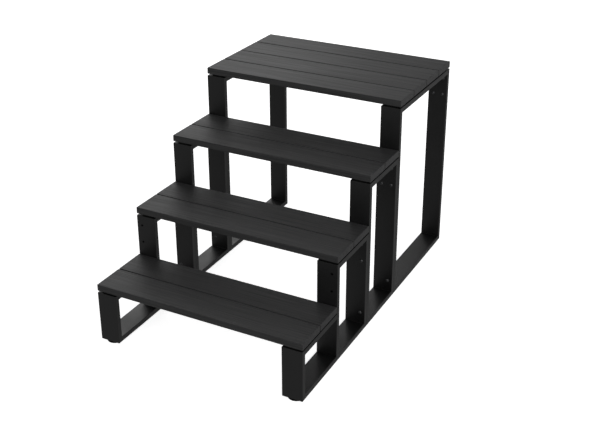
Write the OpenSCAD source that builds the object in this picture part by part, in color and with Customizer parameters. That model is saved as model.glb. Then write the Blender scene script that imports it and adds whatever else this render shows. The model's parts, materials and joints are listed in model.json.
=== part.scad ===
// Free-standing four-level pool and spa steps: boards on two welded tube frames.
// Millimetres, +Z up, +Y towards the back, +X to the right seen from the front.
// Origin: centre of the bounding box, on the floor.

/* [Boards] */
// Length of every board, end to end, along X.
board_length = 846; // [760:2:1000]
// Thickness of a board.
board_t = 26; // [20:1:32]
// Open seam between two boards of one level.
board_seam = 4; // [2:0.5:8]
// Radius of the four long edges of a board.
board_edge_r = 2.5; // [1:0.5:5]
// Step back of a level's first board from the front face of its frame.
board_setback = 1; // [0.5:0.5:4]

/* [Levels] */
// Height of the lowest tread's top above the floor.
first_top = 240; // [200:5:280]
// Height from one tread's top to the next.
riser = 198.3; // [170:0.1:220]
// Depth of a tread, from one frame's front face to the next.
tread_pitch = 265; // [240:5:320]

/* [Frames] */
// Width of the flat tube, along X.
tube_w = 80; // [60:5:100]
// Thickness of the flat tube.
tube_t = 20; // [15:1:25]
// Wall of the tube.
tube_wall = 1.5; // [1:0.5:3]
// Step back of a frame's outer face from the board ends.
frame_inset = 0; // [0:0.5:10]

/* [Board fixing] */
// Thickness of the soft strip between a frame and its boards.
strip_t = 6; // [3:0.5:10]
// Width of the strip.
strip_w = 40; // [30:2:50]
// Step back of the strip's ends from the frame's ends.
strip_end = 8; // [4:1:15]
// Shank diameter of a board screw.
screw_d = 5; // [4:0.5:6]
// Depth of a board screw in its board.
screw_bite = 17; // [10:1:18]

/* [Frame bolts] */
// Shank diameter of a frame bolt.
bolt_d = 8; // [6:1:8]
// Clearance hole of a frame bolt and of the rail holes.
bolt_hole_d = 9; // [8.5:0.5:10]
// Distance of the outer column of bolts from a leg's outer edge.
bolt_edge = 20; // [16:1:22]
// Distance of the upper row of bolts below a frame's top.
bolt_drop = 40; // [35:1:50]
// Distance between the two rows.
bolt_row = 70; // [50:1:80]
// Distance between the two columns.
bolt_column = 40; // [30:1:40]
// Height of the single low bolt above a frame's underside.
low_bolt = 65; // [50:1:80]
// Distance of the two rail holes from a leg's outer edge.
rail_edge = 22; // [16:1:26]

/* [Feet] */
// Diameter of a foot's glide.
foot_d = 60; // [40:1:62]
// Height of the frames' underside above the floor, feet screwed right in.
foot_h = 8.5; // [6:0.5:15]
// Distance of a foot's axis from the frame's front or rear face.
foot_in = 30; // [30:1:60]
// Diameter of a foot's stud.
stud_d = 10; // [8:1:12]

/* [Hidden] */
$fn = 64;
// Overshoot of a cut past the face it opens.
eps = 1;
// Radial play of a plain bore on the screw or bolt it holds, and of a stud in its nut.
thread_play = 0.02;
stud_play = 0.05;
// Air between a glide and the frame over it.
glide_air = 0.3;
LEFT = -1;
RIGHT = 1;
LEVELS = 4;

// Boards: two to a tread, four on the platform, all of one depth.
board_d = (tread_pitch - 2 * board_setback - board_seam) / 2;
board_pitch = board_d + board_seam;
function board_count(level) = level == LEVELS ? 4 : 2;
function level_depth(level) = level == LEVELS
    ? board_setback + 4 * board_d + 3 * board_seam : tread_pitch;

// Bolt hardware.
head_d = 1.75 * bolt_d;
head_h = 0.55 * bolt_d;
socket_af = 0.625 * bolt_d;
socket_deep = 0.3 * bolt_d;
washer_d = 2 * bolt_d;
washer_t = 0.2 * bolt_d;
nut_af = 1.625 * bolt_d;
nut_h = 0.8 * bolt_d;
thread_end = 2;
screw_head_d = 1.9 * screw_d;
screw_head_h = 0.6 * screw_d;

// Heights.
function board_top(level) = first_top + (level - 1) * riser;
function frame_top(level) = board_top(level) - board_t - strip_t;

// Depths: the bounding box runs from the front legs to the rear bolts' ends.
frame_depth = (LEVELS - 1) * tread_pitch + level_depth(LEVELS);
bolt_out = washer_t + nut_h + thread_end;
front_y = -(frame_depth + bolt_out) / 2;
function level_y(level) = front_y + (level - 1) * tread_pitch;
rear_y = front_y + frame_depth;
function level_end(level) = level_y(level) + level_depth(level);

// Side frames.
outer_x = board_length / 2 - frame_inset;
inner_x = outer_x - tube_w;
tube_x = outer_x - tube_w / 2;

// Bolt places, each as [x, z] on a leg's face.
function column_x(i) = outer_x - bolt_edge - i * bolt_column;
function row_z(level, i) = frame_top(level) - bolt_drop - i * bolt_row;
low_place = [column_x(0), foot_h + low_bolt];
function outer_pair(level) = [for (i = [0, 1]) [column_x(0), row_z(level, i)]];
function inner_pair(level) = [for (i = [0, 1]) [column_x(1), row_z(level, i)]];
places_2_3 = concat(outer_pair(2), [low_place]);
places_3_4 = concat(outer_pair(3), inner_pair(3), [low_place]);
places_rear = concat(outer_pair(4), inner_pair(4));
places_rail = [for (i = [0, 1]) [outer_x - rail_edge, row_z(2, i)]];

// Foot axes, front and rear.
foot_front_y = front_y + foot_in;
foot_rear_y = rear_y - foot_in;

// Repeats right-hand geometry on the asked side.
module on_side(side) {
    if (side == RIGHT) {
        children();
    } else {
        mirror([1, 0, 0]) children();
    }
}

module on_both_sides() {
    for (side = [LEFT, RIGHT]) {
        on_side(side) children();
    }
}

// A rod along +Y from a place on a leg's face.
module rod_y(place, y0, length, d) {
    translate([place[0], y0, place[1]])
        rotate([-90, 0, 0])
            cylinder(d = d, h = length);
}

// ---- Boards ----

// Section of a board across its length, corners rounded.
module board_section() {
    r = board_edge_r;
    translate([r, 0]) square([board_d - 2 * r, board_t]);
    translate([0, r]) square([board_d, board_t - 2 * r]);
    for (y = [r, board_d - r], z = [r, board_t - r]) {
        translate([y, z]) circle(r = r);
    }
}

function board_y(level, i) = level_y(level) + board_setback + i * board_pitch;
// Two screws at each end of a board.
function screw_ys(level, i) = [for (f = [0.25, 0.75]) board_y(level, i) + f * board_d];

module board(level, i) {
    color("#2b2b2d")
    difference() {
        translate([-board_length / 2, board_y(level, i), board_top(level) - board_t])
            rotate([90, 0, 90])
                linear_extrude(height = board_length)
                    board_section();
        on_both_sides()
            for (y = screw_ys(level, i)) {
                translate([tube_x, y, board_top(level) - board_t - eps])
                    cylinder(d = screw_d + 2 * thread_play, h = screw_bite + eps);
            }
    }
}

// ---- Frames ----

// Closed loop of flat tube between two depths, with its bore all the way round.
module tube_loop(y0, y1, z1) {
    z0 = foot_h;
    in = tube_t - tube_wall;
    difference() {
        translate([inner_x, y0, z0])
            cube([tube_w, y1 - y0, z1 - z0]);
        translate([inner_x - eps, y0 + tube_t, z0 + tube_t])
            cube([tube_w + 2 * eps, y1 - y0 - 2 * tube_t, z1 - z0 - 2 * tube_t]);
        difference() {
            translate([inner_x + tube_wall, y0 + tube_wall, z0 + tube_wall])
                cube([tube_w - 2 * tube_wall, y1 - y0 - 2 * tube_wall, z1 - z0 - 2 * tube_wall]);
            translate([inner_x, y0 + in, z0 + in])
                cube([tube_w, y1 - y0 - 2 * in, z1 - z0 - 2 * in]);
        }
    }
}

// The same tube bent round three sides, open to the back.
module tube_bow(y0, y1, z1) {
    difference() {
        tube_loop(y0, y1 + tube_t + eps, z1);
        translate([inner_x - eps, y1, foot_h - eps])
            cube([tube_w + 2 * eps, tube_t + 2 * eps, z1 - foot_h + 2 * eps]);
    }
}

// Clearance holes through one leg, front face at y0.
module leg_holes(places, y0) {
    for (place = places) {
        rod_y(place, y0 - eps, tube_t + 2 * eps, bolt_hole_d);
    }
}

// Clearance holes for the screws of one level, through the top bar.
module screw_holes(level) {
    for (i = [0 : board_count(level) - 1], y = screw_ys(level, i)) {
        translate([tube_x, y, frame_top(level) - tube_t - eps])
            cylinder(d = screw_d + 1, h = tube_t + 2 * eps);
    }
}

// Hole for a foot's stud, through the bottom bar's lower wall.
module stud_hole(y) {
    translate([tube_x, y, foot_h - eps])
        cylinder(d = stud_d + 1, h = tube_wall + 2 * eps);
}

module frame_1(side) {
    color("#1d1d1f")
    on_side(side) difference() {
        tube_bow(level_y(1), level_end(1), frame_top(1));
        screw_holes(1);
        stud_hole(foot_front_y);
    }
}

module frame_2(side) {
    color("#1d1d1f")
    on_side(side) difference() {
        tube_loop(level_y(2), level_end(2), frame_top(2));
        screw_holes(2);
        leg_holes(places_rail, level_y(2));
        leg_holes(places_2_3, level_end(2) - tube_t);
    }
}

module frame_3(side) {
    color("#1d1d1f")
    on_side(side) difference() {
        tube_loop(level_y(3), level_end(3), frame_top(3));
        screw_holes(3);
        leg_holes(places_2_3, level_y(3));
        leg_holes(places_3_4, level_end(3) - tube_t);
    }
}

module frame_4(side) {
    color("#1d1d1f")
    on_side(side) difference() {
        tube_loop(level_y(4), level_end(4), frame_top(4));
        screw_holes(4);
        leg_holes(places_3_4, level_y(4));
        leg_holes(places_rear, rear_y - tube_t);
        stud_hole(foot_rear_y);
    }
}

// ---- Strips and screws under the boards ----

module strip(level, side) {
    color("#101010")
    on_side(side) difference() {
        translate([tube_x - strip_w / 2, level_y(level) + strip_end, frame_top(level)])
            cube([strip_w, level_depth(level) - 2 * strip_end, strip_t]);
        for (i = [0 : board_count(level) - 1], y = screw_ys(level, i)) {
            translate([tube_x, y, frame_top(level) - eps])
                cylinder(d = screw_d + 1, h = strip_t + 2 * eps);
        }
    }
}

// One pan-head screw, driven upwards, head under the bar.
module board_screw() {
    cylinder(d = screw_d, h = tube_t + strip_t + screw_bite - 1);
    difference() {
        translate([0, 0, -screw_head_h])
            cylinder(d1 = screw_head_d - 2, d2 = screw_head_d, h = screw_head_h);
        translate([0, 0, -screw_head_h - eps])
            cylinder(d = screw_d / 2, h = screw_head_h / 2 + eps, $fn = 6);
    }
}

module board_screws(level) {
    color("#3a3a3c")
    on_both_sides()
        for (i = [0 : board_count(level) - 1], y = screw_ys(level, i)) {
            translate([tube_x, y, frame_top(level) - tube_t])
                board_screw();
        }
}

// ---- Frame bolts, washers and nuts ----

// One dome-head bolt along +Y, head on the face at y = 0.
module dome_bolt(grip) {
    dome_r = (head_d * head_d / 4 + head_h * head_h) / (2 * head_h);
    rotate([-90, 0, 0]) {
        cylinder(d = bolt_d, h = grip + bolt_out);
        difference() {
            intersection() {
                translate([0, 0, dome_r - head_h]) sphere(r = dome_r);
                translate([0, 0, -head_h]) cylinder(d = head_d, h = head_h);
            }
            translate([0, 0, -head_h - eps])
                cylinder(d = socket_af / cos(30), h = socket_deep + eps, $fn = 6);
        }
    }
}

module plain_washer() {
    rotate([-90, 0, 0]) difference() {
        cylinder(d = washer_d, h = washer_t);
        translate([0, 0, -eps]) cylinder(d = bolt_hole_d, h = washer_t + 2 * eps);
    }
}

module hex_nut(af, h, bore) {
    difference() {
        cylinder(d = af / cos(30), h = h, $fn = 6);
        translate([0, 0, -eps]) cylinder(d = bore, h = h + 2 * eps);
    }
}

// Bolts of one set of places; the heads sit on the leg face at head_y.
module bolts(places, head_y, grip) {
    color("#26262a")
    on_both_sides()
        for (place = places) {
            translate([place[0], head_y, place[1]]) dome_bolt(grip);
        }
}

module washers(places, y) {
    color("#303034")
    on_both_sides()
        for (place = places) {
            translate([place[0], y, place[1]]) plain_washer();
        }
}

module nuts(places, y) {
    color("#303034")
    on_both_sides()
        for (place = places) {
            translate([place[0], y + washer_t, place[1]])
                rotate([-90, 0, 0])
                    hex_nut(nut_af, nut_h, bolt_d + 2 * thread_play);
        }
}

// ---- Feet ----

stud_top = foot_h + tube_t - tube_wall - 1;
stud_foot = foot_h / 2;
foot_nut_h = 0.8 * stud_d;

// Soft disc with a rounded lower rim and a seat for the stud.
module glide(side, y) {
    rim = 2;
    top = foot_h - glide_air;
    color("#161616")
    on_side(side) translate([tube_x, y, 0])
        rotate_extrude()
            difference() {
                union() {
                    square([foot_d / 2 - rim, top]);
                    translate([0, rim]) square([foot_d / 2, top - rim]);
                    translate([foot_d / 2 - rim, rim]) circle(r = rim);
                }
                translate([-rim, -rim]) square([rim, top + 2 * rim]);
                translate([0, stud_foot]) square([stud_d / 2, top]);
            }
}

module stud(side, y) {
    color("#8a8a8c")
    on_side(side) translate([tube_x, y, stud_foot])
        cylinder(d = stud_d, h = stud_top - stud_foot);
}

// Nuts welded inside the bottom bars, one over each foot.
module foot_nuts() {
    color("#8a8a8c")
    on_both_sides()
        for (y = [foot_front_y, foot_rear_y]) {
            translate([tube_x, y, foot_h + tube_wall])
                hex_nut(1.6 * stud_d, foot_nut_h, stud_d + 2 * stud_play);
        }
}

board(1, 0);  // tread_1_board_front
board(1, 1);  // tread_1_board_rear
board(2, 0);  // tread_2_board_front
board(2, 1);  // tread_2_board_rear
board(3, 0);  // tread_3_board_front
board(3, 1);  // tread_3_board_rear
board(4, 0);  // platform_board_1
board(4, 1);  // platform_board_2
board(4, 2);  // platform_board_3
board(4, 3);  // platform_board_4
frame_1(LEFT);  // frame_1_left
frame_1(RIGHT);  // frame_1_right
frame_2(LEFT);  // frame_2_left
frame_2(RIGHT);  // frame_2_right
frame_3(LEFT);  // frame_3_left
frame_3(RIGHT);  // frame_3_right
frame_4(LEFT);  // frame_4_left
frame_4(RIGHT);  // frame_4_right
strip(1, LEFT);  // strip_1_left
strip(1, RIGHT);  // strip_1_right
strip(2, LEFT);  // strip_2_left
strip(2, RIGHT);  // strip_2_right
strip(3, LEFT);  // strip_3_left
strip(3, RIGHT);  // strip_3_right
strip(4, LEFT);  // strip_4_left
strip(4, RIGHT);  // strip_4_right
board_screws(1);  // board_screws_1
board_screws(2);  // board_screws_2
board_screws(3);  // board_screws_3
board_screws(4);  // board_screws_4
bolts(places_2_3, level_y(3) - tube_t, 2 * tube_t);  // joint_bolts_2_3
washers(places_2_3, level_y(3) + tube_t);  // joint_washers_2_3
nuts(places_2_3, level_y(3) + tube_t);  // joint_nuts_2_3
bolts(places_3_4, level_y(4) - tube_t, 2 * tube_t);  // joint_bolts_3_4
washers(places_3_4, level_y(4) + tube_t);  // joint_washers_3_4
nuts(places_3_4, level_y(4) + tube_t);  // joint_nuts_3_4
bolts(places_rear, rear_y - tube_t, tube_t);  // rear_bolts
washers(places_rear, rear_y);  // rear_washers
nuts(places_rear, rear_y);  // rear_nuts
foot_nuts();
glide(LEFT, foot_front_y);  // foot_glide_front_left
glide(RIGHT, foot_front_y);  // foot_glide_front_right
glide(LEFT, foot_rear_y);  // foot_glide_rear_left
glide(RIGHT, foot_rear_y);  // foot_glide_rear_right
stud(LEFT, foot_front_y);  // foot_stud_front_left
stud(RIGHT, foot_front_y);  // foot_stud_front_right
stud(LEFT, foot_rear_y);  // foot_stud_rear_left
stud(RIGHT, foot_rear_y);  // foot_stud_rear_right
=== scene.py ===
"""Looks, studio and camera for free-standing pool and spa steps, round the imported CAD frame.

Metres and the CAD frame throughout: +Z up, +Y towards the back, +X to the right seen from the
front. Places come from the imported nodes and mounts. Each visible piece is a finer mesh that
stands for one CAD node, and rides on that node's body.
"""

import json
import math

import bmesh
import bpy
from mathutils import Matrix, Vector, noise

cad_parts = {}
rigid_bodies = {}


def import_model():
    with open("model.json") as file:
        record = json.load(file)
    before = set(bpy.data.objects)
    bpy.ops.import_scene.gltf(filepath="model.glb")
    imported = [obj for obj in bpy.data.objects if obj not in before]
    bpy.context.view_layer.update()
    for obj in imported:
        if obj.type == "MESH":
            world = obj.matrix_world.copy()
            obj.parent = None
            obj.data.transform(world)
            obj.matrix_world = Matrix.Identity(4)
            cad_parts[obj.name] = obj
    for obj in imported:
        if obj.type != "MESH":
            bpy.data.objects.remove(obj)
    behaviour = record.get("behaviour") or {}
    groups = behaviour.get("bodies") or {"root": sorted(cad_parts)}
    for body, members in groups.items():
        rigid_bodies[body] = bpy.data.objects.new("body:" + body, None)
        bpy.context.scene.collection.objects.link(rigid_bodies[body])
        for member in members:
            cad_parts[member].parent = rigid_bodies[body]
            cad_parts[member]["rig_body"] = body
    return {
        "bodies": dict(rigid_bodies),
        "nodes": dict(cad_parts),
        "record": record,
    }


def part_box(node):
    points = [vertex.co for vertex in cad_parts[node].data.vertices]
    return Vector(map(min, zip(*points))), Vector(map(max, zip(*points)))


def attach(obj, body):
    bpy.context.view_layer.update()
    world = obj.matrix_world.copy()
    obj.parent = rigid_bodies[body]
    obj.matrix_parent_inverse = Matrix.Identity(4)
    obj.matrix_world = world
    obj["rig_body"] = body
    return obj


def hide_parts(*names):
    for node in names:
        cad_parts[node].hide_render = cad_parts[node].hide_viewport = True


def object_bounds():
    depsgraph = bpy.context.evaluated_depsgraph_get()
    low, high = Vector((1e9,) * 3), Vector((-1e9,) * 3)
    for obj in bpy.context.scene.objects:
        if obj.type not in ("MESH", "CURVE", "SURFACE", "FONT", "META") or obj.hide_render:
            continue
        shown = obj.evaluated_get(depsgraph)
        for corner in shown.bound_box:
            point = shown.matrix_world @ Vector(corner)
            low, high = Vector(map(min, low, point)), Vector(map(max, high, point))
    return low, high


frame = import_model()
CAD_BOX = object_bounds()
RECORD = frame["record"]
SLOTS = {part["node"]: part["material_slot"] for part in RECORD["subparts"]}
SIDES = ("left", "right")
CORNERS = ("front_left", "front_right", "rear_left", "rear_right")
MM = 0.001

# ---- Sizes ----

ARC_STEPS = 4

# Boards
BOARD_EDGE_R = 2.5 * MM
BOARD_END_EASE = 0.8 * MM
GRAIN_STEP_ACROSS = 1.2 * MM
GRAIN_STEP_ALONG = 7 * MM
GRAIN_FADE = 3 * MM
# Relief of the brushed top, coarse streaks then fine ones: length, width, depth.
GRAIN_STREAKS = ((350 * MM, 9 * MM, 0.22 * MM), (110 * MM, 3.4 * MM, 0.16 * MM))

# Side frames
TUBE_T = 20 * MM
TUBE_WALL = 1.5 * MM
TUBE_EDGE_R = 1.2 * MM
MITRE_R = 1 * MM
WELD_R = 1.2 * MM
BOLT_HOLE_D = 9 * MM
SCREW_HOLE_D = 6 * MM
STUD_HOLE_D = 11 * MM
HOLE_SIDES = 32

# Fasteners
TURN_STEPS = 36
THREAD_STEPS = 6
BOLT_D = 8 * MM
BOLT_PITCH = 1.25 * MM
BOLT_THREAD = 14 * MM
BOLT_HEAD_H = 4.4 * MM
BOLT_HEAD_EDGE = 0.5 * MM
BOLT_TIP_EASE = 0.6 * MM
HEAD_SEAT_EASE = 0.15 * MM
SOCKET_AF = 5 * MM
SOCKET_DEEP = 2.4 * MM
WASHER_BORE = 9 * MM
NUT_AF = 13 * MM
SCREW_D = 5 * MM
SCREW_PITCH = 2.2 * MM
SCREW_HEAD_D = 9.5 * MM
SCREW_HEAD_H = 3 * MM
SCREW_SOCKET_AF = 2.5 * MM

# Feet and strips
STUD_PITCH = 1.5 * MM
STUD_CHAMFER = 0.7 * MM
FOOT_NUT_BORE = 10.1 * MM
FOOT_NUT_AF = 16 * MM
GLIDE_STEPS = 72
STRIP_EDGE_R = 1.2 * MM
STRIP_BULGE = 0.6 * MM
STRIP_RIB_PITCH = 6 * MM


# ---- Mesh helpers ----


def link(name, mesh):
    """A new object with this mesh, in the scene."""
    made = bpy.data.objects.new(name, mesh)
    bpy.context.scene.collection.objects.link(made)
    return made


def to_mesh(bm, name, sharp_from=30):
    """A smooth-shaded mesh from bm, with edges over sharp_from degrees kept sharp."""
    mesh = bpy.data.meshes.new(name)
    bm.to_mesh(mesh)
    bm.free()
    return smoothed(mesh, sharp_from)


def smoothed(mesh, sharp_from=30):
    mesh.polygons.foreach_set("use_smooth", [True] * len(mesh.polygons))
    mesh.set_sharp_from_angle(angle=math.radians(sharp_from))
    return mesh


def show(node, mesh, material):
    """Shows mesh instead of a CAD node, on the node's body, with the given material."""
    piece = link(node + "_visual", mesh)
    mesh.materials.clear()
    mesh.materials.append(material)
    flats = piece.modifiers.new("flat faces stay flat", "WEIGHTED_NORMAL")
    flats.keep_sharp = True
    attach(piece, frame["nodes"][node]["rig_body"])
    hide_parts(node)
    return piece


def skin(bm, rows, rows_close=False, points_close=True):
    """Quads between neighbouring rows of points, and round each row. Returns the vertices."""
    grid = [[bm.verts.new(point) for point in row] for row in rows]
    pairs = list(zip(grid, grid[1:]))
    if rows_close:
        pairs.append((grid[-1], grid[0]))
    count = len(grid[0])
    for near, far in pairs:
        for i in range(count if points_close else count - 1):
            j = (i + 1) % count
            bm.faces.new((near[i], near[j], far[j], far[i]))
    return grid


def capped_skin(bm, rows):
    """A closed solid: quads between the rows, and one flat face over each end row."""
    grid = skin(bm, rows)
    bm.faces.new(grid[0])
    bm.faces.new(grid[-1])
    return grid


def outward(bm):
    bmesh.ops.recalc_face_normals(bm, faces=bm.faces)


def rounded_rectangle(width, height, radius):
    """Points and outward normals round a rectangle with round corners, from its lower right."""
    ring = []
    for quarter, (side, level) in enumerate([(1, -1), (1, 1), (-1, 1), (-1, -1)]):
        centre = Vector((side * (width / 2 - radius), level * (height / 2 - radius)))
        for step in range(ARC_STEPS + 1):
            angle = math.radians(90 * (quarter - 1 + step / ARC_STEPS))
            normal = Vector((math.cos(angle), math.sin(angle)))
            ring.append((centre + radius * normal, normal))
    return ring


def circle(radius, height, steps=TURN_STEPS):
    """A lathe ring: its (radius, angle, height) at every step of the turn."""
    return [(radius, math.tau * k / steps, height) for k in range(steps)]


def hexagon(across_flats, height):
    """A lathe ring with six sides, its corners on the steps of the turn."""
    ring = []
    for k in range(TURN_STEPS):
        off_flat = (360 * k / TURN_STEPS) % 60 - 30
        reach = across_flats / 2 / math.cos(math.radians(off_flat))
        ring.append((reach, math.tau * k / TURN_STEPS, height))
    return ring


def thread(diameter, pitch, start, end, steps=TURN_STEPS):
    """Lathe rings of a screw thread that fades in and out, from height start down to end."""
    rings = []
    depth = 0.5 * pitch
    count = max(2, round(abs(end - start) / pitch * THREAD_STEPS))
    for k in range(count + 1):
        height = start + (end - start) * k / count
        runs_out = min(1, 2 * min(k, count - k) / THREAD_STEPS)
        ring = []
        for i in range(steps):
            turn = (height / pitch + i / steps) % 1
            groove = depth * runs_out * (1 - abs(2 * turn - 1))
            ring.append((diameter / 2 - groove, math.tau * i / steps, height))
        rings.append(ring)
    return rings


def lathe(bm, rings, matrix, closed=False):
    """Joins lathe rings into a solid, set in place by matrix. closed: the last meets the first."""
    rows = []
    for ring in rings:
        points = [Vector((r * math.cos(a), r * math.sin(a), h)) for r, a, h in ring]
        rows.append([matrix @ point for point in points])
    if closed:
        skin(bm, rows, rows_close=True)
    else:
        capped_skin(bm, rows)


def solids(node):
    """(lowest corner, highest corner) of each separate solid of a CAD node."""
    bm = bmesh.new()
    bm.from_mesh(frame["nodes"][node].data)
    bmesh.ops.remove_doubles(bm, verts=bm.verts, dist=0.001 * MM)
    left, boxes = set(bm.verts), []
    while left:
        stack, low, high = [left.pop()], Vector((9, 9, 9)), Vector((-9, -9, -9))
        while stack:
            vert = stack.pop()
            low = Vector(map(min, low, vert.co))
            high = Vector(map(max, high, vert.co))
            for edge in vert.link_edges:
                other = edge.other_vert(vert)
                if other in left:
                    left.remove(other)
                    stack.append(other)
        boxes.append((low, high))
    bm.free()
    return sorted(boxes, key=lambda box: tuple(round(c, 5) for c in box[0]))


# ---- Materials ----


def add(tree, kind, inputs=None, **settings):
    """Adds a shader node. inputs maps a socket's name or number to a value or a link."""
    made = tree.nodes.new("ShaderNode" + kind)
    for key, value in settings.items():
        setattr(made, key, value)
    for key, value in (inputs or {}).items():
        if isinstance(value, bpy.types.NodeSocket):
            tree.links.new(value, made.inputs[key])
        else:
            made.inputs[key].default_value = value
    return made


def pattern(tree, size, detail=3, rough=0.5):
    """Noise about 0.5 whose features are size = (x, y, z) metres long, in the row frame."""
    place = add(tree, "TexCoord").outputs["Object"]
    scaled = add(tree, "Mapping", {"Vector": place, "Scale": [1 / s for s in size]})
    inputs = {"Vector": scaled.outputs["Vector"], "Scale": 1, "Detail": detail}
    return add(tree, "TexNoise", {**inputs, "Roughness": rough}).outputs["Fac"]


def ranged(tree, value, low, high, start=0.35, end=0.65):
    """value from start to end, as a number from low to high."""
    inputs = {"Value": value, "From Min": start, "From Max": end, "To Min": low, "To Max": high}
    return add(tree, "MapRange", inputs).outputs["Result"]


def mixed(tree, factor, first, second):
    """Colour first where factor is 0 and second where it is 1."""
    mix = add(tree, "Mix", {0: factor}, data_type="RGBA")
    for key, colour in ((6, first), (7, second)):
        if isinstance(colour, bpy.types.NodeSocket):
            tree.links.new(colour, mix.inputs[key])
        else:
            mix.inputs[key].default_value = (*colour, 1)
    return mix.outputs[2]


def product(tree, first, second):
    return add(tree, "Math", {0: first, 1: second}, operation="MULTIPLY").outputs["Value"]


def bumped(tree, height, distance, under=None, strength=1.0):
    inputs = {"Height": height, "Distance": distance, "Strength": strength}
    if under is not None:
        inputs["Normal"] = under
    return add(tree, "Bump", inputs).outputs["Normal"]


def worn_edges(tree, radius, blotch):
    """From 0 on flat faces to 1 on outer and inner edges, broken up by blotches."""
    rounded = add(tree, "Bevel", {"Radius": radius}, samples=4).outputs["Normal"]
    true = add(tree, "NewGeometry").outputs["Normal"]
    inputs = {0: rounded, 1: true}
    same = add(tree, "VectorMath", inputs, operation="DOT_PRODUCT").outputs["Value"]
    edge = ranged(tree, same, 1, 0, start=0.75, end=0.99)
    broken = ranged(tree, pattern(tree, (blotch,) * 3), 0.2, 1, start=0.42, end=0.6)
    return product(tree, edge, broken)


def new_material(name, **plain):
    """A material and its tree, shader and settings that are the same all over the surface."""
    material = bpy.data.materials.new(name)
    material.use_nodes = True
    tree = material.node_tree
    shader = tree.nodes["Principled BSDF"]
    for key, value in plain.items():
        shader.inputs[key.replace("_", " ")].default_value = value
    return material, tree, shader


def board_material():
    """Brushed wood-plastic composite: charcoal, matt, with fine streaks along the board."""
    material, tree, shader = new_material("brushed_composite", Specular_IOR_Level=0.56)
    coarse = pattern(tree, (0.9, 0.008, 0.008), detail=2)
    fine = pattern(tree, (0.3, 0.003, 0.003), detail=4, rough=0.6)
    speck = pattern(tree, (0.0012, 0.0008, 0.0008), detail=2)
    wear = worn_edges(tree, 1.5 * MM, 0.02)
    streaks = mixed(tree, ranged(tree, fine, 0, 1), (0.0135, 0.0135, 0.014), (0.036, 0.036, 0.0365))
    bands = mixed(tree, ranged(tree, coarse, 0, 0.5), streaks, (0.037, 0.037, 0.0375))
    colour = mixed(tree, product(tree, wear, 0.35), bands, (0.055, 0.055, 0.056))
    rough = ranged(tree, fine, 0.66, 0.5)
    relief = bumped(tree, fine, 0.25 * MM, strength=0.5)
    tree.links.new(colour, shader.inputs["Base Color"])
    tree.links.new(rough, shader.inputs["Roughness"])
    tree.links.new(bumped(tree, speck, 0.05 * MM, relief, 0.4), shader.inputs["Normal"])
    return material


def frame_material():
    """Black powder coat: satin, with a fine orange peel and slightly thin edges."""
    material, tree, shader = new_material("black_powder_coat", Specular_IOR_Level=0.58)
    peel = pattern(tree, (0.0011,) * 3, detail=2)
    cloud = pattern(tree, (0.09, 0.09, 0.12), detail=3)
    wear = worn_edges(tree, 1.5 * MM, 0.03)
    body = mixed(tree, ranged(tree, cloud, 0, 1), (0.0025, 0.0025, 0.0026), (0.0045, 0.0045, 0.0046))
    colour = mixed(tree, product(tree, wear, 0.3), body, (0.03, 0.03, 0.031))
    tree.links.new(colour, shader.inputs["Base Color"])
    tree.links.new(ranged(tree, cloud, 0.4, 0.5), shader.inputs["Roughness"])
    tree.links.new(bumped(tree, peel, 0.03 * MM, strength=0.5), shader.inputs["Normal"])
    return material


def fastener_material():
    """Black-finished steel: dark, satin, rubbed lighter on its edges."""
    material, tree, shader = new_material("black_finished_steel", Metallic=0.85)
    cloud = pattern(tree, (0.004,) * 3, detail=3)
    wear = worn_edges(tree, 0.5 * MM, 0.004)
    body = mixed(tree, ranged(tree, cloud, 0, 1), (0.07, 0.07, 0.073), (0.12, 0.12, 0.124))
    colour = mixed(tree, product(tree, wear, 0.6), body, (0.3, 0.3, 0.31))
    tree.links.new(colour, shader.inputs["Base Color"])
    tree.links.new(ranged(tree, cloud, 0.42, 0.56), shader.inputs["Roughness"])
    tree.links.new(bumped(tree, cloud, 0.02 * MM, strength=0.4), shader.inputs["Normal"])
    return material


def steel_material(name, grey, turned=0.0006):
    """Zinc-plated steel, with fine turning marks."""
    material, tree, shader = new_material(name, Metallic=1.0)
    marks = pattern(tree, (0.02, 0.02, turned), detail=2)
    cloud = pattern(tree, (0.006,) * 3, detail=3)
    dark = [grey * 0.8, grey * 0.8, grey * 0.82]
    colour = mixed(tree, ranged(tree, cloud, 0, 1), dark, (grey, grey, grey * 1.02))
    tree.links.new(colour, shader.inputs["Base Color"])
    tree.links.new(ranged(tree, marks, 0.3, 0.45), shader.inputs["Roughness"])
    tree.links.new(bumped(tree, marks, 0.02 * MM, strength=0.5), shader.inputs["Normal"])
    return material


def rubber_material(name, grey, roughness, specular):
    """Moulded rubber: near black, dull, with a fine pebble and a dusty bloom."""
    material, tree, shader = new_material(name, Specular_IOR_Level=specular)
    pebble = pattern(tree, (0.0007,) * 3, detail=2)
    bloom = pattern(tree, (0.015,) * 3, detail=4)
    dusty = [grey * 1.8, grey * 1.8, grey * 1.75]
    colour = mixed(tree, ranged(tree, bloom, 0, 1), (grey, grey, grey), dusty)
    tree.links.new(colour, shader.inputs["Base Color"])
    tree.links.new(ranged(tree, bloom, roughness, roughness + 0.15), shader.inputs["Roughness"])
    tree.links.new(bumped(tree, pebble, 0.04 * MM, strength=0.6), shader.inputs["Normal"])
    return material


MATERIALS = {
    "board": board_material(),
    "frame": frame_material(),
    "strip": rubber_material("strip_rubber", 0.004, 0.7, 0.2),
    "screw": steel_material("screw_steel", 0.3),
    "fastener": fastener_material(),
    "plain_steel": steel_material("zinc_plated_steel", 0.5),
    "glide": rubber_material("glide_rubber", 0.002, 0.6, 0.05),
}


# ---- Boards ----


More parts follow.
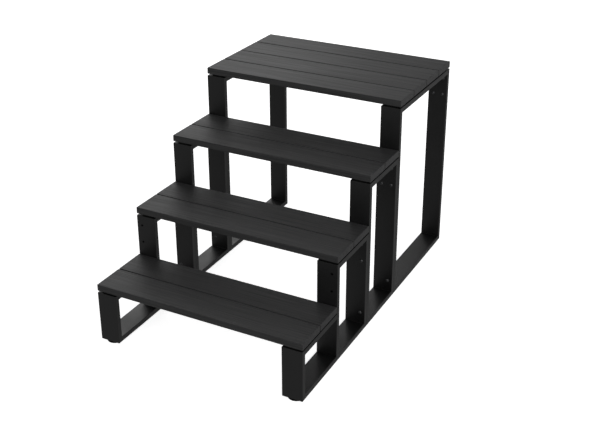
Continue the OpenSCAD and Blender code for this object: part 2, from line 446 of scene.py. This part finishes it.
def board_section(depth, thickness):
    """(point, normal, share of the grain's relief) round a board's section."""
    ring = [(point, normal, 0) for point, normal in rounded_rectangle(depth, thickness, BOARD_EDGE_R)]
    before_top = 2 * (ARC_STEPS + 1)
    start, end = ring[before_top - 1][0], ring[before_top][0]
    count = round((start - end).length / GRAIN_STEP_ACROSS)
    top = []
    for i in range(1, count):
        point = start.lerp(end, i / count)
        near_edge = min((point - start).length, (point - end).length)
        top.append((point, Vector((0, 1)), min(1, near_edge / GRAIN_FADE)))
    return ring[:before_top] + top + ring[before_top:]


def grain_depth(x, y):
    """Depth of the brushed relief at a point of a board's top."""
    depth = 0
    for length, width, deep in GRAIN_STREAKS:
        depth += deep * (0.5 + 0.5 * noise.noise(Vector((x / length, y / width, width / MM))))
    return depth


def board_stations(low, high):
    """(x, inset) along a board: eased at both ends, even between."""
    eased = []
    for step in range(ARC_STEPS):
        angle = math.radians(90 * step / ARC_STEPS)
        off_end = BOARD_END_EASE * (1 - math.cos(angle))
        inset = BOARD_END_EASE * (1 - math.sin(angle))
        eased.append((off_end, inset))
    length = high - low - 2 * BOARD_END_EASE
    count = round(length / GRAIN_STEP_ALONG)
    middle = [(low + BOARD_END_EASE + length * i / count, 0) for i in range(count + 1)]
    first = [(low + off_end, inset) for off_end, inset in eased]
    return first + middle + [(high - off_end, inset) for off_end, inset in reversed(eased)]


def board(node):
    low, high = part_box(node)
    middle = (low + high) / 2
    section = board_section(high.y - low.y, high.z - low.z)
    rows = []
    for x, inset in board_stations(low.x, high.x):
        row = []
        for point, normal, share in section:
            y, z = point - inset * normal
            sunk = share * grain_depth(x, middle.y + y)
            row.append((x, middle.y + y, middle.z + z - sunk))
        rows.append(row)
    bm = bmesh.new()
    capped_skin(bm, rows)
    outward(bm)
    show(node, to_mesh(bm, node, sharp_from=50), MATERIALS["board"])


# ---- Side frames ----


def frame_outline(low, high, inset, open_back):
    """(y, z) round a side frame, set in by inset. Outside the mitres are ground to a small
    radius, and inside they carry a weld's. An open frame ends square on the next leg."""
    share = inset / TUBE_T
    radius = MITRE_R + (WELD_R - MITRE_R) * share
    corners = [(1, 1, 0), (-1, 1, 90), (-1, -1, 180), (1, -1, 270)]
    points = []
    for side, level, start in corners[1:3] if open_back else corners:
        y = (high.y if side > 0 else low.y) - side * (inset + radius)
        z = (high.z if level > 0 else low.z) - level * (inset + radius)
        for step in range(ARC_STEPS + 1):
            angle = math.radians(start + 90 * step / ARC_STEPS)
            points.append((y + radius * math.cos(angle), z + radius * math.sin(angle)))
    if not open_back:
        return points
    return [(high.y, high.z - inset), *points, (high.y, low.z + inset)]


def tube_shell(bm, low, high, wall, open_back):
    """One face of the tube's wall, wall inside its outer face."""
    section = rounded_rectangle(
        high.x - low.x - 2 * wall, TUBE_T - 2 * wall, max(TUBE_EDGE_R - wall, 0.5 * MM)
    )
    rows = []
    for point, _ in section:
        x = (low.x + high.x) / 2 + point.x
        outline = frame_outline(low, high, TUBE_T / 2 + point.y, open_back)
        rows.append([(x, y, z) for y, z in outline])
    return skin(bm, rows, rows_close=True, points_close=not open_back)


def tube_frame_mesh(name, low, high, open_back):
    """A welded frame of flat tube, hollow all the way round."""
    bm = bmesh.new()
    outer = tube_shell(bm, low, high, 0, open_back)
    outer_faces = set(bm.faces)
    inner = tube_shell(bm, low, high, TUBE_WALL, open_back)
    if open_back:
        for end in (0, -1):
            for i in range(len(outer)):
                j = (i + 1) % len(outer)
                bm.faces.new((outer[i][end], outer[j][end], inner[j][end], inner[i][end]))
    outward(bm)
    if not open_back:
        bore = [face for face in bm.faces if face not in outer_faces]
        bmesh.ops.reverse_faces(bm, faces=bore)
    mesh = bpy.data.meshes.new(name)
    bm.to_mesh(mesh)
    bm.free()
    return mesh


def drill(bm, start, end, diameter):
    """Adds a rod from start to end to the mesh that cuts the holes."""
    way = end - start
    matrix = Matrix.Translation(start) @ way.to_track_quat("Z", "Y").to_matrix().to_4x4()
    rings = [circle(diameter / 2, h, HOLE_SIDES) for h in (0, way.length)]
    lathe(bm, rings, matrix)


def with_holes(mesh, drills):
    """The mesh less the rods, as a new mesh."""
    cutter = link("drills", to_mesh(drills, "drills"))
    target = link("drilled", mesh)
    cut = target.modifiers.new("holes", "BOOLEAN")
    cut.operation = "DIFFERENCE"
    cut.solver = "EXACT"
    cut.object = cutter
    evaluated = target.evaluated_get(bpy.context.evaluated_depsgraph_get())
    drilled = bpy.data.meshes.new_from_object(evaluated)
    bpy.data.objects.remove(target)
    bpy.data.objects.remove(cutter)
    return smoothed(drilled)


def same_side(low, x):
    return low.x * x > 0


def bolt_axes(node):
    """(x, z, front, back) of each bolt of a CAD node."""
    return [((a.x + b.x) / 2, (a.z + b.z) / 2, a.y, b.y) for a, b in solids(node)]


def rail_holes(side):
    """(x, z) of the rail holes, from the mount on this side."""
    mount = next(m for m in RECORD["mounts"] if m["name"] == "rail_holes_" + side)
    x, _, z = mount["pos_m"]
    half = mount["dims"]["spacing_y_mm"] * MM / 2
    return [(x, z - half), (x, z + half)]


BOLTS_THROUGH = {
    2: ("joint_bolts_2_3",),
    3: ("joint_bolts_2_3", "joint_bolts_3_4"),
    4: ("joint_bolts_3_4", "rear_bolts"),
}
STUDS_UNDER = {1: "front", 4: "rear"}


def side_frame(level, side):
    node = f"frame_{level}_{side}"
    low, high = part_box(node)
    drills = bmesh.new()
    clear = Vector((0, TUBE_WALL, 0))
    for bolts in BOLTS_THROUGH.get(level, ()):
        for x, z, front, back in bolt_axes(bolts):
            if same_side(low, x):
                drill(drills, Vector((x, front, z)), Vector((x, back, z)), BOLT_HOLE_D)
    if level == 2:
        for x, z in rail_holes(side):
            face = Vector((x, low.y, z))
            drill(drills, face - clear, face + clear + Vector((0, TUBE_T, 0)), BOLT_HOLE_D)
    for a, b in solids(f"board_screws_{level}"):
        if same_side(low, a.x):
            x, y = (a.x + b.x) / 2, (a.y + b.y) / 2
            start, end = Vector((x, y, high.z - 1.5 * TUBE_T)), Vector((x, y, high.z + TUBE_WALL))
            drill(drills, start, end, SCREW_HOLE_D)
    if level in STUDS_UNDER:
        a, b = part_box(f"foot_stud_{STUDS_UNDER[level]}_{side}")
        x, y = (a.x + b.x) / 2, (a.y + b.y) / 2
        start, end = Vector((x, y, low.z - TUBE_WALL)), Vector((x, y, low.z + 2 * TUBE_WALL))
        drill(drills, start, end, STUD_HOLE_D)
    outward(drills)
    mesh = with_holes(tube_frame_mesh(node, low, high, open_back=level == 1), drills)
    show(node, mesh, MATERIALS["frame"])


# ---- Strips between the frames and the boards ----


def strip(node):
    """A rubber strip with ribbed sides that swell a little under the boards."""
    low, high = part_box(node)
    middle = (low + high) / 2
    section = rounded_rectangle(high.x - low.x, high.z - low.z, STRIP_EDGE_R)
    count = round((high.y - low.y) / STRIP_RIB_PITCH) * 4
    rows = []
    for step in range(count + 1):
        y = low.y + (high.y - low.y) * step / count
        pulled_in = STRIP_BULGE * (0.5 + 0.5 * math.cos(math.tau * step / 4))
        row = []
        for point, normal in section:
            x = point.x - pulled_in * normal.x
            row.append((middle.x + x, y, middle.z + point.y))
        rows.append(row)
    bm = bmesh.new()
    capped_skin(bm, rows)
    outward(bm)
    show(node, to_mesh(bm, node, sharp_from=50), MATERIALS["strip"])


# ---- Fasteners ----

# Turns a lathe's axis from +Z to -Y, where bolts have their heads.
HEAD_TO_FRONT = Matrix.Rotation(math.radians(90), 4, "X")
HEAD_DOWN = Matrix.Rotation(math.radians(180), 4, "X")


def dome(head_r, head_h, edge, radius):
    """Height of a domed head over its seat, radius away from its axis."""
    rise = head_h - edge
    ball = (head_r**2 + rise**2) / (2 * rise)
    return edge + math.sqrt(max(ball**2 - radius**2, 0)) - (ball - rise)


def domed(ring, head_r, head_h, edge):
    """A lathe ring lifted onto the dome."""
    return [(r, a, dome(head_r, head_h, edge, min(r, head_r))) for r, a, _ in ring]


def socket_head(head_d, head_h, edge, socket_af, socket_deep):
    """Lathe rings of a domed head, from the socket's floor out and down to the seat."""
    rings = [hexagon(socket_af * 0.8, head_h - socket_deep), hexagon(socket_af, head_h - socket_deep)]
    rings.append(domed(hexagon(socket_af, 0), head_d / 2, head_h, edge))
    for share in (0.55, 0.7, 0.82, 0.92, 0.98):
        rings.append(domed(circle(share * head_d / 2, 0), head_d / 2, head_h, edge))
    rings += [circle(head_d / 2, edge), circle(head_d / 2, HEAD_SEAT_EASE)]
    return [*rings, circle(head_d / 2 - HEAD_SEAT_EASE, 0)]


def bolts(node):
    """Dome-head socket bolts, threaded at the nut's end."""
    bm = bmesh.new()
    for low, high in solids(node):
        head_r = (high.x - low.x) / 2
        shank = high.y - low.y - BOLT_HEAD_H
        rings = socket_head(2 * head_r, BOLT_HEAD_H, BOLT_HEAD_EDGE, SOCKET_AF, SOCKET_DEEP)
        rings += [circle(BOLT_D / 2, 0), circle(BOLT_D / 2, BOLT_THREAD - shank)]
        rings += thread(BOLT_D, BOLT_PITCH, BOLT_THREAD - shank, BOLT_TIP_EASE - shank)
        rings.append(circle(BOLT_D / 2 - BOLT_TIP_EASE, -shank))
        seat = Vector(((low.x + high.x) / 2, low.y + BOLT_HEAD_H, (low.z + high.z) / 2))
        lathe(bm, rings, Matrix.Translation(seat) @ HEAD_TO_FRONT)
    outward(bm)
    show(node, to_mesh(bm, node), MATERIALS["fastener"])


def washers(node):
    """Stamped plain washers, one rim rounded."""
    bm = bmesh.new()
    roll = 0.35 * MM
    for low, high in solids(node):
        outer, inner, thick = (high.x - low.x) / 2, WASHER_BORE / 2, high.y - low.y
        rings = [circle(inner, 0), circle(outer - roll, 0), circle(outer - 0.3 * roll, 0.3 * roll)]
        rings += [circle(outer, roll), circle(outer, thick), circle(inner, thick)]
        base = Vector(((low.x + high.x) / 2, high.y, (low.z + high.z) / 2))
        lathe(bm, rings, Matrix.Translation(base) @ HEAD_TO_FRONT, closed=True)
    outward(bm)
    show(node, to_mesh(bm, node), MATERIALS["fastener"])


def nut_rings(across_flats, height, bore):
    """Lathe rings of a hexagon nut, its corners cut back at both faces."""
    face_r = 0.475 * across_flats
    fall = math.tan(math.radians(30))

    def corner_cut(level, sign):
        ring = hexagon(across_flats, level)
        return [(r, a, h + sign * fall * max(0, r - face_r)) for r, a, h in ring]

    lower = [circle(bore / 2, 0.4 * MM), circle(bore / 2 + 0.4 * MM, 0), circle(face_r, 0)]
    upper = [circle(face_r, height), circle(bore / 2 + 0.4 * MM, height)]
    cut = [corner_cut(0, 1), corner_cut(height, -1)]
    return [*lower, *cut, *upper, circle(bore / 2, height - 0.4 * MM)]


def nuts(node, across_flats, along_y, bore, material):
    bm = bmesh.new()
    for low, high in solids(node):
        middle = (low + high) / 2
        if along_y:
            height, base = high.y - low.y, Vector((middle.x, high.y, middle.z))
            place = Matrix.Translation(base) @ HEAD_TO_FRONT
        else:
            height, base = high.z - low.z, Vector((middle.x, middle.y, low.z))
            place = Matrix.Translation(base)
        lathe(bm, nut_rings(across_flats, height, bore), place, closed=True)
    outward(bm)
    show(node, to_mesh(bm, node), material)


def board_screws(node):
    """Pan-head screws driven upwards, with a coarse thread up to a point."""
    bm = bmesh.new()
    steps = TURN_STEPS // 2
    for low, high in solids(node):
        shank = high.z - low.z - SCREW_HEAD_H
        head = socket_head(SCREW_HEAD_D, SCREW_HEAD_H, 0.8 * MM, SCREW_SOCKET_AF, 0.5 * SCREW_HEAD_H)
        rings = [ring[::2] for ring in head] + [circle(SCREW_D / 2, 0, steps)]
        rings += thread(SCREW_D, SCREW_PITCH, -SCREW_D, 4 * MM - shank, steps)
        rings.append(circle(0.3 * MM, -shank, steps))
        seat = Vector(((low.x + high.x) / 2, (low.y + high.y) / 2, low.z + SCREW_HEAD_H))
        lathe(bm, rings, Matrix.Translation(seat) @ HEAD_DOWN)
    outward(bm)
    show(node, to_mesh(bm, node), MATERIALS["screw"])


# ---- Feet ----


def stud(node):
    """A threaded stud, chamfered at both ends."""
    low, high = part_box(node)
    radius, length = (high.x - low.x) / 2, high.z - low.z
    rings = [circle(radius - STUD_CHAMFER, length)]
    rings += thread(2 * radius, STUD_PITCH, length - STUD_CHAMFER, STUD_CHAMFER)
    rings.append(circle(radius - STUD_CHAMFER, 0))
    base = Vector(((low.x + high.x) / 2, (low.y + high.y) / 2, low.z))
    bm = bmesh.new()
    lathe(bm, rings, Matrix.Translation(base))
    outward(bm)
    show(node, to_mesh(bm, node), MATERIALS["plain_steel"])


def glide(node, stud_node):
    """A moulded glide: grooved sole, rolled rim, dished top and a hub round the stud."""
    low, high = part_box(node)
    stud_low, stud_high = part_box(stud_node)
    radius, top = (high.x - low.x) / 2, high.z - low.z
    seat, seat_r = stud_low.z - low.z, (stud_high.x - stud_low.x) / 2
    groove, rim = 0.6 * MM, 2 * MM
    profile = [(4 * MM, 0)]
    for share in (0.35, 0.55, 0.75):
        at = share * radius
        profile += [(at - MM, 0), (at - 0.5 * MM, groove), (at + 0.5 * MM, groove), (at + MM, 0)]
    for step in range(ARC_STEPS + 1):
        angle = math.radians(90 * step / ARC_STEPS)
        profile.append((radius - rim + rim * math.sin(angle), rim - rim * math.cos(angle)))
    profile += [(radius, 0.62 * top), (radius - 0.3 * MM, 0.66 * top), (radius - 0.5 * MM, top - MM)]
    profile += [(radius - 0.8 * MM, top - 0.3 * MM), (radius - 1.6 * MM, top)]
    profile += [(radius - 4 * MM, top), (radius - 5.5 * MM, top - MM), (0.36 * radius, top - MM)]
    profile += [(0.31 * radius, top), (seat_r + 0.6 * MM, top), (seat_r + 0.05 * MM, top - 0.5 * MM)]
    profile.append((seat_r + 0.05 * MM, seat))
    rings = [circle(r, h, GLIDE_STEPS) for r, h in profile]
    base = Vector(((low.x + high.x) / 2, (low.y + high.y) / 2, low.z))
    bm = bmesh.new()
    lathe(bm, rings, Matrix.Translation(base))
    outward(bm)
    show(node, to_mesh(bm, node), MATERIALS["glide"])


# ---- Assembly ----

for node, slot in SLOTS.items():
    if slot == "board":
        board(node)
    elif slot == "strip":
        strip(node)
    elif slot == "screw":
        board_screws(node)
for level in (1, 2, 3, 4):
    for side in SIDES:
        side_frame(level, side)
for joint in ("joint_{}_2_3", "joint_{}_3_4", "rear_{}"):
    bolts(joint.format("bolts"))
    washers(joint.format("washers"))
    nuts(joint.format("nuts"), NUT_AF, True, BOLT_D, MATERIALS["fastener"])
nuts("foot_nuts", FOOT_NUT_AF, False, FOOT_NUT_BORE, MATERIALS["plain_steel"])
for corner in CORNERS:
    stud("foot_stud_" + corner)
    glide("foot_glide_" + corner, "foot_stud_" + corner)


# ---- Studio ----

# The backdrop's flat radius, the radius of its curve and its height.
BACKDROP_REACH = 16
BACKDROP_CURVE = 6
BACKDROP_TOP = 20
BACKDROP_CURVE_STEPS = 8
BACKDROP_SIDES = 96
FLOOR_PALE = (0.86, 0.86, 0.86, 1)
FLOOR_GLOW = 0.85
WORLD_STRENGTH = 0.26
AIM = (CAD_BOX[0] + CAD_BOX[1]) / 2
# Soft boxes round the steps: azimuth and elevation in degrees, distance, size, radiance.
SOFT_BOXES = {
    "top_box": (0, 89, 4, 4, 0.1),
    "back_left_box": (225, 24, 5, 4, 1.23),
    "front_low_box": (0, 6, 3.5, 1.4, 0.7),
    "front_right_box": (45, 30, 5, 3.6, 1.43),
    "right_box": (90, 30, 5, 3.6, 0.74),
    "right_back_low_box": (130, 4, 3.5, 1.3, 1.3),
}


def studio_floor():
    """A plain pale floor that curves up all round, far away, and glows a little.

    It lights nothing. Where a pose lowers a foot, the floor stays under that foot.
    """
    rings = []
    for step in range(BACKDROP_CURVE_STEPS + 1):
        angle = math.radians(90 * step / BACKDROP_CURVE_STEPS)
        out, up = BACKDROP_CURVE * math.sin(angle), BACKDROP_CURVE * (1 - math.cos(angle))
        rings.append((BACKDROP_REACH + out, up))
    rings.append((BACKDROP_REACH + BACKDROP_CURVE, BACKDROP_TOP))
    bm = bmesh.new()
    rows = []
    for radius, height in rings:
        ring = circle(radius, height, BACKDROP_SIDES)
        rows.append([(r * math.cos(a), r * math.sin(a), h) for r, a, h in ring])
    grid = skin(bm, rows)
    bm.faces.new(grid[0])
    floor = link("floor", to_mesh(bm, "floor"))
    material, _, shader = new_material("pale_floor", Roughness=0.9, Specular_IOR_Level=0.0)
    shader.inputs["Base Color"].default_value = FLOOR_PALE
    shader.inputs["Emission Color"].default_value = (1, 1, 1, 1)
    shader.inputs["Emission Strength"].default_value = FLOOR_GLOW
    floor.data.materials.append(material)
    floor.visible_diffuse = False
    floor.visible_glossy = False
    floor.visible_shadow = False
    for corner in CORNERS:
        under = floor.constraints.new("FLOOR")
        under.target = frame["bodies"]["foot_" + corner]
        under.floor_location = "FLOOR_NEGATIVE_Z"


def towards(azimuth, elevation):
    """The way from the steps to a place at an azimuth and elevation in degrees."""
    azimuth, elevation = math.radians(azimuth), math.radians(elevation)
    flat = math.cos(elevation)
    return Vector((math.sin(azimuth) * flat, -math.cos(azimuth) * flat, math.sin(elevation)))


def softbox(name, azimuth, elevation, distance, size, radiance):
    """A square soft light aimed at the middle of the steps."""
    way = towards(azimuth, elevation)
    light = bpy.data.lights.new(name, "AREA")
    light.size = size
    light.energy = radiance * math.pi * size**2
    lamp = bpy.data.objects.new(name, light)
    lamp.location = AIM + distance * way
    lamp.rotation_euler = (-way).to_track_quat("-Z", "Y").to_euler()
    lamp.visible_camera = False
    bpy.context.scene.collection.objects.link(lamp)


def studio_world():
    world = bpy.data.worlds.new("studio")
    world.use_nodes = True
    background = world.node_tree.nodes["Background"]
    background.inputs["Color"].default_value = (1, 1, 1, 1)
    background.inputs["Strength"].default_value = WORLD_STRENGTH
    bpy.context.scene.world = world


studio_floor()
studio_world()
for box_name, box_place in SOFT_BOXES.items():
    softbox(box_name, *box_place)
bpy.context.scene.view_settings.view_transform = "Standard"

# ---- Camera ----

VIEW_AZIMUTH = 27.235
VIEW_ELEVATION = 24.04
VIEW_DISTANCE = 4.129
VIEW_TARGET = Vector((0.0016, 0.1686, 0.4736))
LENS_MM = 60.13
SHIFT_DOWN = -0.082


def studio_camera():
    """The photograph's point of view, with the small vertical shift that its framing has."""
    way = towards(VIEW_AZIMUTH, VIEW_ELEVATION)
    data = bpy.data.cameras.new("camera")
    data.lens = LENS_MM
    data.sensor_width = 36
    data.shift_y = SHIFT_DOWN
    camera = bpy.data.objects.new("camera", data)
    camera.location = VIEW_TARGET + VIEW_DISTANCE * way
    camera.rotation_euler = (-way).to_track_quat("-Z", "Y").to_euler()
    bpy.context.scene.collection.objects.link(camera)
    bpy.context.scene.camera = camera


studio_camera()
